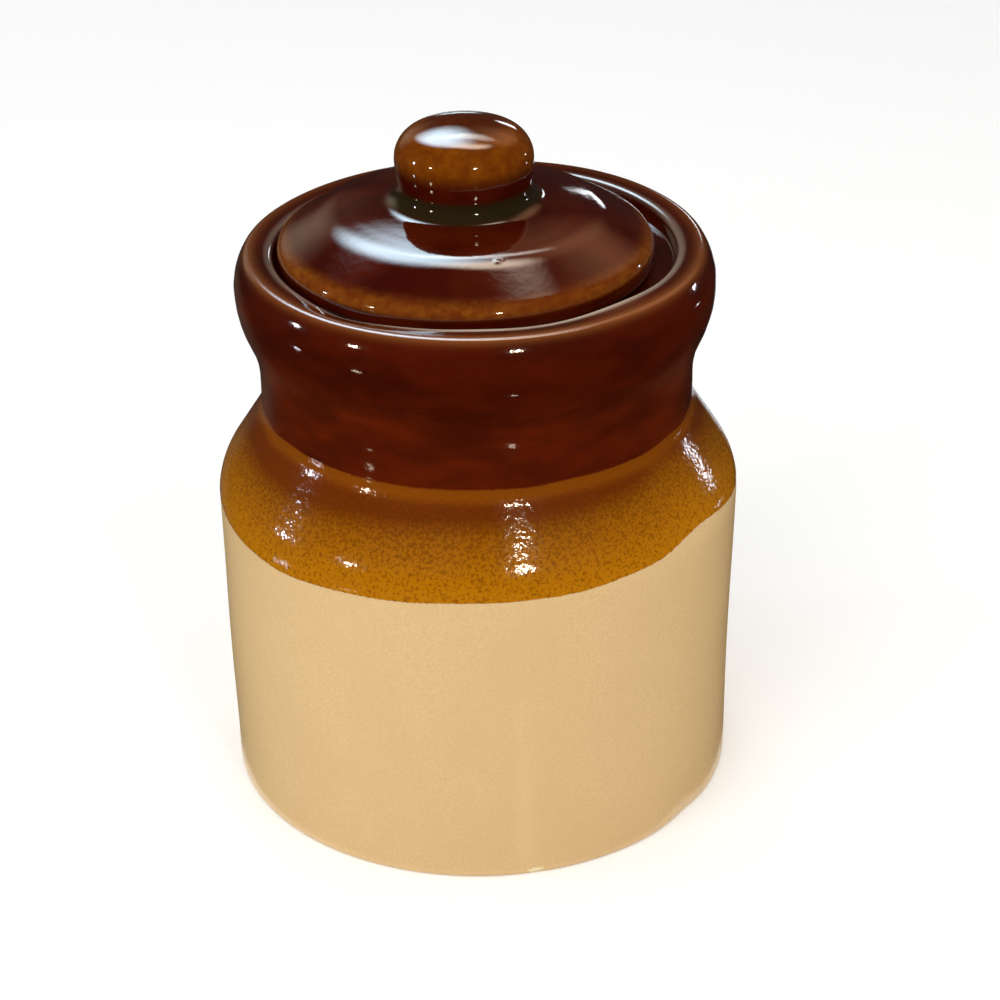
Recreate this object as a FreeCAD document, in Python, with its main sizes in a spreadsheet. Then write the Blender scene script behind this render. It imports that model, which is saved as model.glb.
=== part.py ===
"""Bean pot: a lidded stoneware jar of about 1.2 litres.

Two pieces, both round about the vertical axis before the lid is set down off centre:

- pot: straight body, short sloping shoulder, a crease, a narrow neck and a thick rolled rim.
  Inside the rim a ledge, the gallery, carries the lid. The underside stands on a foot ring.
- lid: low dome with a rounded, turned-down edge and a knob. A locating ring under it hangs
  in the mouth and keeps the loose lid from sliding off its ledge.

Millimetres, +Z up. The origin is on the pot's axis, on the surface that the foot stands on.
"""
import FreeCAD, Part
import math
import os

import Sketcher
from FreeCAD import Vector

# Driving sizes. Heights stack from the foot upwards, and radii step from the lid outwards, so
# that what meets another piece follows it when either changes.
SIZES = {
    # body
    "shoulder_step": 12.0,      # side beyond the neck, at the start of the shoulder
    "body_taper": 1.1,          # how much narrower the side is at the foot
    "side_height": 78.2,        # foot to the start of the shoulder
    "shoulder_round": 17.7,     # radius of the turn from side to shoulder
    "shoulder_rise": 24.0,      # start of the shoulder to the crease
    "wall": 6.5,                # thickness of the side, shoulder and neck
    "floor": 7.0,               # thickness of the bottom
    "floor_round": 9.0,         # inside corner between floor and side
    "foot_round": 1.2,          # outside corner of the foot
    "foot_width": 9.0,          # breadth of the ring that it stands on
    "foot_depth": 1.6,          # how far the middle of the underside is raised
    # neck and rolled rim
    "neck_straight": 9.5,       # upright part of the neck above the crease
    "crease_round": 7.0,        # glaze-filled inside corner at the crease
    "rim_overhang": 5.2,        # rim beyond the neck
    "rim_flare": 23.8,          # rise from the upright neck to the rim's widest
    "rim_crown": 8.8,           # rise from the rim's widest to its crest
    "rim_roll": 4.2,            # crest inwards from the rim's widest
    "crest_round": 2.2,         # radius at the crest
    "rim_top": 5.9,             # breadth of the sloping top, crest to gallery
    "rim_fall": 0.3,            # how far that top drops towards the gallery
    "rim_inner_round": 1.8,     # inner edge of the rim
    # gallery that carries the lid
    "ledge_depth": 4.3,         # crest down to the ledge
    "ledge_thickness": 5.0,
    "ledge_bevel": 7.5,         # height of the slope that carries the ledge from below
    "ledge_round": 1.0,
    # lid
    "lid_radius": 46.4,
    "lid_clearance": 3.2,       # lid edge to gallery wall, all round when centred
    "lid_shift": 2.2,           # how far off centre the lid lies
    "dome_radius": 170.0,       # the nearly flat crown
    "dome_rise": 12.9,          # widest line of the edge up to the crown
    "dome_thickness": 5.5,
    "haunch_inset": 14.9,       # lid edge in to where the crown turns down
    "haunch_round": 15.0,       # turn from the crown to the sloping flank
    "edge_height": 4.2,         # ledge up to the widest line of the lid's edge
    "edge_round": 3.8,          # upper roll of the lid's edge
    "edge_under_round": 2.0,    # lower roll of the lid's edge
    "ring_inset": 8.8,          # lid edge in to the locating ring
    "ring_thickness": 4.0,
    "ring_depth": 6.0,          # below the ledge
    "ring_clearance": 2.9,      # locating ring to mouth, all round when centred
    "ring_round": 1.2,
    # knob
    "knob_radius": 17.0,
    "knob_waist": 13.7,         # radius where it leaves the dome
    "knob_rise": 9.84,          # dome crown to the knob's widest
    "knob_crown": 9.5,          # knob's widest to its top
    "knob_shoulder_round": 7.8,
    "knob_root_round": 4.4,     # glaze-filled corner round the knob's foot
}

# Lengths that follow from the driving sizes, as expressions for the sheet.
CREASE_Z = "Sizes.side_height + Sizes.shoulder_rise"
NECK_TOP_Z = CREASE_Z + " + Sizes.neck_straight"
BULGE_Z = NECK_TOP_Z + " + Sizes.rim_flare"
CREST_Z = BULGE_Z + " + Sizes.rim_crown"
RIM_INNER_Z = CREST_Z + " - Sizes.rim_fall"
LEDGE_Z = CREST_Z + " - Sizes.ledge_depth"
LEDGE_UNDER_Z = LEDGE_Z + " - Sizes.ledge_thickness"
NECK_INSIDE_Z = LEDGE_UNDER_Z + " - Sizes.ledge_bevel"
GALLERY_RADIUS = "Sizes.lid_radius + Sizes.lid_clearance"
CREST_RADIUS = GALLERY_RADIUS + " + Sizes.rim_top"
RIM_RADIUS = CREST_RADIUS + " + Sizes.rim_roll"
NECK_RADIUS = RIM_RADIUS + " - Sizes.rim_overhang"
BODY_RADIUS = NECK_RADIUS + " + Sizes.shoulder_step"
FOOT_RADIUS = BODY_RADIUS + " - Sizes.body_taper"
RING_RADIUS = "Sizes.lid_radius - Sizes.ring_inset"
RING_INNER_RADIUS = RING_RADIUS + " - Sizes.ring_thickness"
MOUTH_RADIUS = RING_RADIUS + " + Sizes.ring_clearance"
SEAT_RADIUS = "Sizes.lid_radius - Sizes.edge_under_round"
DOME_REACH = "Sizes.lid_radius - Sizes.haunch_inset"
DOME_Z = "Sizes.edge_height + Sizes.dome_rise"
HOLLOW_Z = DOME_Z + " - Sizes.dome_thickness"
KNOB_ROOT_Z = DOME_Z + " - Sizes.dome_thickness / 2"
KNOB_WIDE_Z = DOME_Z + " + Sizes.knob_rise"
KNOB_TOP_Z = KNOB_WIDE_Z + " + Sizes.knob_crown"

doc = FreeCAD.newDocument("BeanPot")


def make_sheet():
    """The spreadsheet that every sketch and feature is bound to."""
    sheet = doc.addObject("Spreadsheet::Sheet", "Sizes")
    for row, (name, size) in enumerate(SIZES.items(), start=1):
        sheet.set("A%d" % row, name)
        sheet.set("B%d" % row, str(size))
        sheet.setAlias("B%d" % row, name)
    doc.recompute()
    return sheet


sheet = make_sheet()


def number(expression):
    """Present value of an expression over the sheet."""
    return float(sheet.evalExpression(expression.replace("Sizes.", "")))


def bound(owner, prop, expression):
    """Tie a property of a feature to the sheet."""
    owner.setExpression(prop, expression)


def origin_plane(body, role):
    return next(item for item in body.Origin.OriginFeatures if item.Role == role)


class Section:
    """A closed outline in a sketch on one of a body's origin planes.

    Edges are added in order round the outline. Each remembers which of its ends comes first,
    because an arc always runs anticlockwise in a sketch while the outline may pass it the
    other way.
    """

    def __init__(self, body, name, plane="XZ_Plane"):
        self.sketch = body.newObject("Sketcher::SketchObject", name)
        self.sketch.AttachmentSupport = (origin_plane(body, plane), [""])
        self.sketch.MapMode = "FlatFace"
        self.edges = []

    def line(self, start, end):
        segment = Part.LineSegment(Vector(*start, 0), Vector(*end, 0))
        return self._keep(self.sketch.addGeometry(segment, False), 1, 2)

    def arc(self, centre, start, end, clockwise=False):
        first, last = (end, start) if clockwise else (start, end)
        radius = math.dist(centre, start)
        circle = Part.Circle(Vector(*centre, 0), Vector(0, 0, 1), radius)
        angles = [math.atan2(p[1] - centre[1], p[0] - centre[0]) for p in (first, last)]
        if angles[1] < angles[0]:
            angles[1] += 2 * math.pi
        index = self.sketch.addGeometry(Part.ArcOfCircle(circle, *angles), False)
        return self._keep(index, *((2, 1) if clockwise else (1, 2)))

    def _keep(self, index, start_pos, end_pos):
        edge = {"id": index, "start": (index, start_pos), "end": (index, end_pos)}
        self.edges.append(edge)
        return edge

    def rule(self, *args):
        return self.sketch.addConstraint(Sketcher.Constraint(*args))

    def join(self, smooth=()):
        """Close the outline: smooth lists the edges that run on tangent into the next one."""
        for edge, following in zip(self.edges, self.edges[1:] + self.edges[:1]):
            kind = "Tangent" if edge in smooth else "Coincident"
            self.rule(kind, *edge["end"], *following["start"])

    def size(self, kind, refs, expression):
        """A dimension bound to the sheet."""
        index = self.rule(kind, *refs, number(expression))
        name = "size_%d" % index
        self.sketch.renameConstraint(index, name)
        self.sketch.setExpression("Constraints." + name, expression)

    def place(self, point, x=None, y=None):
        """Fix a point's distance from the axis (x) or its height (y); zero lies on the axis."""
        for kind, axis, expression in (("DistanceX", -2, x), ("DistanceY", -1, y)):
            if expression is None:
                continue
            if expression == "0":
                self.rule("PointOnObject", *point, axis)
            elif number(expression) < 0:
                self.size(kind, (*point, -1, 1), "-(" + expression + ")")
            else:
                self.size(kind, (-1, 1, *point), expression)

    def radius(self, edge, expression):
        self.size("Radius", (edge["id"],), expression)

    def centre(self, edge):
        return (edge["id"], 3)


def spin(body, kind, name, section):
    """Revolution or groove of a section about the body's vertical axis."""
    feature = body.newObject("PartDesign::" + kind, name)
    feature.Profile = section.sketch
    feature.ReferenceAxis = (section.sketch, ["V_Axis"])
    feature.Angle = 360
    section.sketch.Visibility = False
    doc.recompute()
    return feature


def rings(shape):
    """Name, radius and height of every horizontal ring edge of a round shape."""
    for index, edge in enumerate(shape.Edges, start=1):
        if edge.Degenerated:
            continue
        box = edge.BoundBox
        if box.ZLength < 0.01 and box.XLength > 0.01:
            yield "Edge%d" % index, box.XLength / 2, box.Center.z


def ring_edge(feature, radius, height):
    """Name of the ring edge of a feature with this radius at this height."""
    for name, ring_radius, ring_height in rings(feature.Shape):
        if abs(ring_radius - radius) < 0.05 and abs(ring_height - height) < 0.05:
            return name
    raise ValueError("no edge of radius %.2f at height %.2f" % (radius, height))


def round_edge(body, name, radius, height, size):
    """Fillet the circular edge at this radius and height, all three given as expressions."""
    base = body.Tip
    fillet = body.newObject("PartDesign::Fillet", name)
    fillet.Base = (base, [ring_edge(base, number(radius), number(height))])
    bound(fillet, "Radius", size)
    doc.recompute()
    return fillet


def tangent_from(point, centre, radius, side):
    """Where the line from a point touches a circle; side is +1 or -1 of the two answers."""
    dx, dy = point[0] - centre[0], point[1] - centre[1]
    turn = math.acos(radius / math.hypot(dx, dy))
    angle = math.atan2(dy, dx) + side * turn
    return centre[0] + radius * math.cos(angle), centre[1] + radius * math.sin(angle)


def on_arc(centre, radius, angle):
    return centre[0] + radius * math.cos(angle), centre[1] + radius * math.sin(angle)


def common_tangent(first, first_radius, second, second_radius):
    """Angle of the normal, on the upper side, of the line that touches two circles."""
    dx, dy = second[0] - first[0], second[1] - first[1]
    apart = math.hypot(dx, dy)
    return math.atan2(dy, dx) + math.acos((first_radius - second_radius) / apart)


def shoulder(section, bottom, top, radius, neck, smooth):
    """Side line, round shoulder and straight slope up to the neck, shared by both faces."""
    lean = math.atan2(top[0] - bottom[0], top[1] - bottom[1])
    side = section.line(bottom, top)
    centre = (top[0] - radius * math.cos(lean), top[1] + radius * math.sin(lean))
    touch = tangent_from(neck, centre, radius, -1)
    turn = section.arc(centre, top, touch)
    slope = section.line(touch, neck)
    smooth += [side, turn]
    return side, turn, slope


def rim_outline(section, neck, bulge, crest, crest_round, inner, smooth):
    """Flare from the neck, the rolled bulge, the crest and the sloping top inside it."""
    out, rise = bulge[0] - neck[0], bulge[1] - neck[1]
    sweep = 2 * math.atan2(out, rise)
    bend = rise / math.sin(sweep) / 2
    hollow = (neck[0] + bend, neck[1])
    swell = (bulge[0] - bend, bulge[1])
    meet = on_arc(swell, bend, -sweep)
    flare = section.arc(hollow, neck, meet, clockwise=True)
    lower = section.arc(swell, meet, bulge)
    back, up = bulge[0] - crest[0], crest[1] - bulge[1]
    bow = (back ** 2 + (up - crest_round) ** 2 - crest_round ** 2) / (2 * (back - crest_round))
    bow_centre = (bulge[0] - bow, bulge[1])
    crest_centre = (crest[0], crest[1] - crest_round)
    reach = math.atan2(crest_centre[1] - bow_centre[1], crest_centre[0] - bow_centre[0])
    upper = section.arc(bow_centre, bulge, on_arc(bow_centre, bow, reach))
    touch = tangent_from(inner, crest_centre, crest_round, -1)
    crown = section.arc(crest_centre, on_arc(bow_centre, bow, reach), touch)
    top = section.line(touch, inner)
    smooth += [flare, lower, upper, crown]
    return flare, lower, crown, top


def outside_section(body):
    """Half section of the pot as a solid block, from its foot to the rolled rim."""
    section = Section(body, "outside")
    foot = (number(FOOT_RADIUS), 0)
    side_top = (number(BODY_RADIUS), number("Sizes.side_height"))
    crease = (number(NECK_RADIUS), number(CREASE_Z))
    neck_top = (crease[0], number(NECK_TOP_Z))
    bulge = (number(RIM_RADIUS), number(BULGE_Z))
    crest = (number(CREST_RADIUS), number(CREST_Z))
    inner = (number(GALLERY_RADIUS), number(RIM_INNER_Z))
    smooth = []
    base = section.line((0, 0), foot)
    side, turn, slope = shoulder(
        section, foot, side_top, number("Sizes.shoulder_round"), crease, smooth)
    neck = section.line(crease, neck_top)
    smooth.append(neck)
    flare, lower, crown, top = rim_outline(
        section, neck_top, bulge, crest, number("Sizes.crest_round"), inner, smooth)
    across = section.line(inner, (0, inner[1]))
    axis = section.line((0, inner[1]), (0, 0))
    section.join(smooth)
    section.rule("Coincident", *base["start"], -1, 1)
    section.place(base["end"], FOOT_RADIUS, "0")
    section.place(side["end"], BODY_RADIUS, "Sizes.side_height")
    section.radius(turn, "Sizes.shoulder_round")
    section.place(slope["end"], NECK_RADIUS, CREASE_Z)
    section.rule("Vertical", neck["id"])
    section.place(neck["end"], y=NECK_TOP_Z)
    section.rule("Equal", flare["id"], lower["id"])
    section.rule("Horizontal", *section.centre(lower), *lower["end"])
    section.place(lower["end"], RIM_RADIUS, BULGE_Z)
    section.radius(crown, "Sizes.crest_round")
    section.place(section.centre(crown), CREST_RADIUS, CREST_Z + " - Sizes.crest_round")
    section.place(top["end"], GALLERY_RADIUS, RIM_INNER_Z)
    section.rule("Horizontal", across["id"])
    section.rule("Vertical", axis["id"])
    return section


def inside_section(body):
    """Half section of the room inside: floor, side, shoulder, neck, mouth and gallery."""
    section = Section(body, "inside")
    wall = number("Sizes.wall")
    floor = number("Sizes.floor")
    corner = (number(FOOT_RADIUS) - wall, floor)
    side_top = (number(BODY_RADIUS) - wall, number("Sizes.side_height"))
    crease = (number(NECK_RADIUS) - wall, number(CREASE_Z))
    under = (crease[0], number(NECK_INSIDE_Z))
    mouth_low = (number(MOUTH_RADIUS), number(LEDGE_UNDER_Z))
    mouth_top = (mouth_low[0], number(LEDGE_Z))
    ledge_end = (number(GALLERY_RADIUS), mouth_top[1])
    gallery_top = (ledge_end[0], number(CREST_Z))
    smooth = []
    base = section.line((0, floor), corner)
    side, turn, slope = shoulder(
        section, corner, side_top, number("Sizes.shoulder_round") - wall, crease, smooth)
    neck = section.line(crease, under)
    bevel = section.line(under, mouth_low)
    mouth = section.line(mouth_low, mouth_top)
    ledge = section.line(mouth_top, ledge_end)
    gallery = section.line(ledge_end, gallery_top)
    across = section.line(gallery_top, (0, gallery_top[1]))
    axis = section.line((0, gallery_top[1]), (0, floor))
    section.join(smooth)
    section.place(base["start"], "0", "Sizes.floor")
    section.rule("Horizontal", base["id"])
    section.place(base["end"], FOOT_RADIUS + " - Sizes.wall")
    section.place(side["end"], BODY_RADIUS + " - Sizes.wall", "Sizes.side_height")
    section.radius(turn, "Sizes.shoulder_round - Sizes.wall")
    section.place(slope["end"], NECK_RADIUS + " - Sizes.wall", CREASE_Z)
    section.rule("Vertical", neck["id"])
    section.place(neck["end"], y=NECK_INSIDE_Z)
    section.place(bevel["end"], MOUTH_RADIUS, LEDGE_UNDER_Z)
    section.rule("Vertical", mouth["id"])
    section.place(mouth["end"], y=LEDGE_Z)
    section.rule("Horizontal", ledge["id"])
    section.place(ledge["end"], x=GALLERY_RADIUS)
    section.rule("Vertical", gallery["id"])
    section.place(gallery["end"], y=CREST_Z)
    section.rule("Horizontal", across["id"])
    section.rule("Vertical", axis["id"])
    return section


def foot_recess(body):
    """Shallow round recess that leaves a foot ring to stand on."""
    section = Section(body, "recess", "XY_Plane")
    radius = FOOT_RADIUS + " - Sizes.foot_width"
    circle = Part.Circle(Vector(0, 0, 0), Vector(0, 0, 1), number(radius))
    index = section.sketch.addGeometry(circle, False)
    section.rule("Coincident", index, 3, -1, 1)
    section.size("Radius", (index,), radius)
    pocket = body.newObject("PartDesign::Pocket", "foot_recess")
    pocket.Profile = section.sketch
    pocket.Reversed = True
    bound(pocket, "Length", "Sizes.foot_depth")
    section.sketch.Visibility = False
    doc.recompute()


def make_pot():
    """The jar, turned in one piece."""
    body = doc.addObject("PartDesign::Body", "pot")
    body.Label = "pot"
    spin(body, "Revolution", "block", outside_section(body))
    spin(body, "Groove", "room", inside_section(body))
    foot_recess(body)
    round_edge(body, "foot_edge", FOOT_RADIUS, "0", "Sizes.foot_round")
    round_edge(body, "crease_corner", NECK_RADIUS, CREASE_Z, "Sizes.crease_round")
    round_edge(body, "rim_inner_edge", GALLERY_RADIUS, RIM_INNER_Z, "Sizes.rim_inner_round")
    round_edge(body, "gallery_corner", GALLERY_RADIUS, LEDGE_Z, "Sizes.ledge_round")
    round_edge(body, "mouth_edge", MOUTH_RADIUS, LEDGE_Z, "Sizes.ledge_round")
    round_edge(body, "mouth_under_edge", MOUTH_RADIUS, LEDGE_UNDER_Z, "Sizes.ledge_round")
    round_edge(body, "floor_corner", FOOT_RADIUS + " - Sizes.wall", "Sizes.floor",
               "Sizes.floor_round")
    return body


def cap_section(body):
    """Half section of the lid's flat-topped dome with its rolled edge, solid to the ledge."""
    section = Section(body, "cap")
    lid_radius = number("Sizes.lid_radius")
    roll, under = number("Sizes.edge_round"), number("Sizes.edge_under_round")
    dome, crown_z = number("Sizes.dome_radius"), number(DOME_Z)
    haunch = number("Sizes.haunch_round")
    dome_centre = (0, crown_z - dome)
    seat = (number(SEAT_RADIUS), 0)
    roll_centre = (lid_radius - roll, number("Sizes.edge_height"))
    tilt = math.acos(number(DOME_REACH) / dome)
    dome_start = on_arc(dome_centre, dome, tilt)
    haunch_centre = on_arc(dome_centre, dome - haunch, tilt)
    fall = common_tangent(haunch_centre, haunch, roll_centre, roll)
    roll_end = on_arc(roll_centre, roll, fall)
    haunch_start = on_arc(haunch_centre, haunch, fall)
    base = section.line((0, 0), seat)
    lower = section.arc((seat[0], under), seat, (lid_radius, under))
    edge = section.line((lid_radius, under), (lid_radius, roll_centre[1]))
    upper = section.arc(roll_centre, (lid_radius, roll_centre[1]), roll_end)
    flank = section.line(roll_end, haunch_start)
    turn = section.arc(haunch_centre, haunch_start, dome_start)
    crown = section.arc(dome_centre, dome_start, (0, crown_z))
    section.line((0, crown_z), (0, 0))
    section.join([lower, edge, upper, flank, turn])
    section.rule("Coincident", *base["start"], -1, 1)
    section.place(base["end"], SEAT_RADIUS, "0")
    section.radius(lower, "Sizes.edge_under_round")
    section.rule("Vertical", *section.centre(lower), *lower["start"])
    section.rule("Vertical", edge["id"])
    section.radius(upper, "Sizes.edge_round")
    section.place(edge["end"], y="Sizes.edge_height")
    section.radius(turn, "Sizes.haunch_round")
    section.place(turn["end"], x=DOME_REACH)
    section.radius(crown, "Sizes.dome_radius")
    section.rule("PointOnObject", *section.centre(crown), -2)
    section.place(crown["end"], "0", DOME_Z)
    return section


def ring_section(body):
    """Half section of the locating ring under the lid, rooted in the dome above it."""
    section = Section(body, "ring")
    inner, outer = number(RING_INNER_RADIUS), number(RING_RADIUS)
    depth, root = -number("Sizes.ring_depth"), number("Sizes.edge_under_round")
    bottom = section.line((inner, depth), (outer, depth))
    outside = section.line((outer, depth), (outer, root))
    top = section.line((outer, root), (inner, root))
    inside = section.line((inner, root), (inner, depth))
    section.join()
    section.rule("Horizontal", bottom["id"])
    section.rule("Vertical", outside["id"])
    section.rule("Horizontal", top["id"])
    section.rule("Vertical", inside["id"])
    section.place(bottom["start"], RING_INNER_RADIUS, "-Sizes.ring_depth")
    section.place(top["start"], RING_RADIUS, "Sizes.edge_under_round")
    return section


def hollow_section(body):
    """Half section of the hollow under the dome, an even thickness below its top."""
    section = Section(body, "hollow")
    dome, crown_z = number("Sizes.dome_radius"), number(DOME_Z)
    thickness, inner = number("Sizes.dome_thickness"), number(RING_INNER_RADIUS)
    centre = (0, crown_z - dome)
    inside = dome - thickness
    corner = (inner, centre[1] + math.sqrt(inside ** 2 - inner ** 2))
    base = section.line((0, 0), (inner, 0))
    side = section.line((inner, 0), corner)
    roof = section.arc(centre, corner, (0, crown_z - thickness))
    axis = section.line((0, crown_z - thickness), (0, 0))
    section.join()
    section.rule("Coincident", *base["start"], -1, 1)
    section.place(base["end"], RING_INNER_RADIUS, "0")
    section.rule("Vertical", side["id"])
    section.radius(roof, "Sizes.dome_radius - Sizes.dome_thickness")
    section.rule("PointOnObject", *section.centre(roof), -2)
    section.place(axis["start"], "0", HOLLOW_Z)
    return section


def knob_section(body):
    """Half section of the mushroom knob: waisted side, round shoulder and a flatter top."""
    section = Section(body, "knob")
    radius, waist = number("Sizes.knob_radius"), number("Sizes.knob_waist")
    root_z = number(KNOB_ROOT_Z)
    wide_z, top_z = number(KNOB_WIDE_Z), number(KNOB_TOP_Z)
    turn = number("Sizes.knob_shoulder_round")
    rise, step = wide_z - root_z, radius - waist
    bow = (rise ** 2 + step ** 2) / (2 * step)
    inset, crown = radius - turn, number("Sizes.knob_crown")
    top_round = (inset ** 2 + crown ** 2 - turn ** 2) / (2 * (crown - turn))
    top_centre = (0, top_z - top_round)
    tilt = math.atan2(wide_z - top_centre[1], inset)
    meet = on_arc(top_centre, top_round, tilt)
    base = section.line((0, root_z), (waist, root_z))
    side = section.arc((radius - bow, wide_z), (waist, root_z), (radius, wide_z))
    round_part = section.arc((inset, wide_z), (radius, wide_z), meet)
    crown_part = section.arc(top_centre, meet, (0, top_z))
    axis = section.line((0, top_z), (0, root_z))
    section.join([side, round_part])
    section.place(base["start"], "0", KNOB_ROOT_Z)
    section.rule("Horizontal", base["id"])
    section.place(base["end"], x="Sizes.knob_waist")
    section.rule("Horizontal", *section.centre(side), *side["end"])
    section.place(side["end"], "Sizes.knob_radius", KNOB_WIDE_Z)
    section.radius(round_part, "Sizes.knob_shoulder_round")
    section.rule("PointOnObject", *section.centre(crown_part), -2)
    section.place(axis["start"], "0", KNOB_TOP_Z)
    return section


def knob_root(body):
    """Fillet the corner where the knob stands on the dome."""
    base = body.Tip
    waist, widest = number("Sizes.knob_waist"), number("Sizes.knob_radius")
    crown = number(DOME_Z)
    name = next(name for name, radius, height in rings(base.Shape)
                if waist - 0.1 < radius < widest and 0 < height < crown)
    fillet = body.newObject("PartDesign::Fillet", "knob_root")
    fillet.Base = (base, [name])
    bound(fillet, "Radius", "Sizes.knob_root_round")
    doc.recompute()


def make_lid():
    """The loose lid, in one piece with its knob, set down off centre on the ledge."""
    body = doc.addObject("PartDesign::Body", "lid")
    body.Label = "lid"
    spin(body, "Revolution", "dome", cap_section(body))
    spin(body, "Revolution", "locating_ring", ring_section(body))
    spin(body, "Groove", "underside", hollow_section(body))
    spin(body, "Revolution", "handle", knob_section(body))
    knob_root(body)
    round_edge(body, "ring_edge", RING_RADIUS, "-Sizes.ring_depth", "Sizes.ring_round")
    round_edge(body, "ring_inner_edge", RING_INNER_RADIUS, "-Sizes.ring_depth",
               "Sizes.ring_round")
    bound(body, "Placement.Base.x", "-Sizes.lid_shift")
    bound(body, "Placement.Base.z", LEDGE_Z)
    doc.recompute()
    return body


def check(bodies):
    """Stop before anything is written if an object failed or a shape isn't a sound solid."""
    doc.recompute()
    for item in doc.Objects:
        if "Invalid" in item.State or "Error" in item.State:
            raise RuntimeError("%s failed: %s" % (item.Label, item.State))
        if item.TypeId == "Sketcher::SketchObject" and not item.FullyConstrained:
            raise RuntimeError("%s isn't fully constrained" % item.Label)
    for body in bodies:
        if body.Shape.isNull() or not body.Shape.isValid() or len(body.Shape.Solids) != 1:
            raise RuntimeError("%s isn't one sound solid" % body.Label)


def write(bodies):
    os.makedirs("parts", exist_ok=True)
    for body in bodies:
        body.Shape.exportStep("parts/%s.step" % body.Label)
        box = body.Shape.optimalBoundingBox(True, False)
        print("%s: %.1f cm3, %.2f x %.2f x %.2f mm, z %.2f to %.2f" % (
            body.Label, body.Shape.Volume / 1000, box.XLength, box.YLength, box.ZLength,
            box.ZMin, box.ZMax))


pieces = [make_pot(), make_lid()]
check(pieces)
write(pieces)
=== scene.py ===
"""Looks of the lidded stoneware bean pot: turned meshes, glazes, a plain stage and lamps.

Both CAD solids are replaced by finer turned meshes of the same sizes. They carry what a potter's
hand and the kiln leave: an uneven rim, throwing lines, a wandering glaze line, a dent, a chip and
a lump at the foot, and a pimple on the lid. Everything is in metres with +Z up. The pot's axis is
the world's Z axis and the viewer stands towards -Y.
"""
import math
from collections import namedtuple

import bpy
import numpy as np
from mathutils import Matrix, Vector


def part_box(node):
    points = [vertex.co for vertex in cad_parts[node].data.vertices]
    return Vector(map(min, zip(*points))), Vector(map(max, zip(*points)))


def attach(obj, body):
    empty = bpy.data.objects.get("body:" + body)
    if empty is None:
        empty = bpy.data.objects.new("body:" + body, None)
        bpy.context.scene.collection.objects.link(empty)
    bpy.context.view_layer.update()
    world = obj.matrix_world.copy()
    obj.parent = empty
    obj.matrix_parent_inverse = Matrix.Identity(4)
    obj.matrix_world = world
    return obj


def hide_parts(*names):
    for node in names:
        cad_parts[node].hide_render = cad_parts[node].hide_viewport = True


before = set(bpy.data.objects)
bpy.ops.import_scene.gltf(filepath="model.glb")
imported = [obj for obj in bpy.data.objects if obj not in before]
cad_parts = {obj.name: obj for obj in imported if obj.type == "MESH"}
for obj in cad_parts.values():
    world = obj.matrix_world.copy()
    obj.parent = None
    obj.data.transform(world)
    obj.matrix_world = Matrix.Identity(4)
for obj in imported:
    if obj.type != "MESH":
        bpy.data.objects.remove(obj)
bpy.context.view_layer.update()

MM = 0.001
POT_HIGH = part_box("pot")[1]
LID_LOW, LID_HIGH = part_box("lid")

# Sizes of the pot's half outline, radii and heights above the table.
BODY_RADIUS = POT_HIGH.x
CREST_Z = POT_HIGH.z
FOOT_RADIUS = BODY_RADIUS - 1.1 * MM
SIDE_HEIGHT = 78.2 * MM
SHOULDER_ROUND = 17.7 * MM
WALL = 6.5 * MM
FLOOR = 7.0 * MM
FLOOR_ROUND = 9.0 * MM
FOOT_ROUND = 1.2 * MM
FOOT_WIDTH = 9.0 * MM
FOOT_DEPTH = 1.6 * MM
NECK_RADIUS = BODY_RADIUS - 12.0 * MM
RIM_RADIUS = NECK_RADIUS + 5.2 * MM
CREST_RADIUS = RIM_RADIUS - 4.2 * MM
GALLERY_RADIUS = CREST_RADIUS - 5.9 * MM
BULGE_Z = CREST_Z - 8.8 * MM
NECK_TOP_Z = BULGE_Z - 23.8 * MM
CREASE_Z = NECK_TOP_Z - 9.5 * MM
CREASE_ROUND = 7.0 * MM
CREST_ROUND = 2.2 * MM
RIM_INNER_Z = CREST_Z - 0.3 * MM
RIM_INNER_ROUND = 1.8 * MM
LEDGE_Z = CREST_Z - 4.3 * MM
LEDGE_UNDER_Z = LEDGE_Z - 5.0 * MM
LEDGE_BEVEL = 7.5 * MM
LEDGE_ROUND = 1.0 * MM
RIM_INNER = (GALLERY_RADIUS, RIM_INNER_Z)
LEDGE_END = (GALLERY_RADIUS, LEDGE_Z)

# Sizes of the lid's half outline, heights above the ledge that carries it.
LID_RADIUS = (LID_HIGH.x - LID_LOW.x) / 2
LID_X = (LID_HIGH.x + LID_LOW.x) / 2
LID_TOP = LID_HIGH.z - LEDGE_Z
EDGE_HEIGHT = 4.2 * MM
EDGE_ROUND = 3.8 * MM
EDGE_UNDER_ROUND = 2.0 * MM
DOME_RADIUS = 170.0 * MM
DOME_RISE = 12.9 * MM
DOME_THICKNESS = 5.5 * MM
HAUNCH_INSET = 14.9 * MM
HAUNCH_ROUND = 15.0 * MM
RING_RADIUS = LID_RADIUS - 8.8 * MM
RING_THICKNESS = 4.0 * MM
RING_DEPTH = 6.0 * MM
RING_ROUND = 1.2 * MM
MOUTH_RADIUS = RING_RADIUS + 2.9 * MM
KNOB_RADIUS = 17.0 * MM
KNOB_WAIST = 13.7 * MM
KNOB_CROWN = 9.5 * MM
KNOB_SHOULDER_ROUND = 7.8 * MM
KNOB_ROOT_ROUND = 4.4 * MM

# How finely the meshes are divided.
POT_SEGMENTS = 264
LID_SEGMENTS = 288
ARC_STEP = 0.7 * MM
OUTSIDE_STEP = 1.2 * MM
INSIDE_STEP = 2.5 * MM
LID_STEP = 0.6 * MM


# ---------------------------------------------------------------- half outlines

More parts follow.
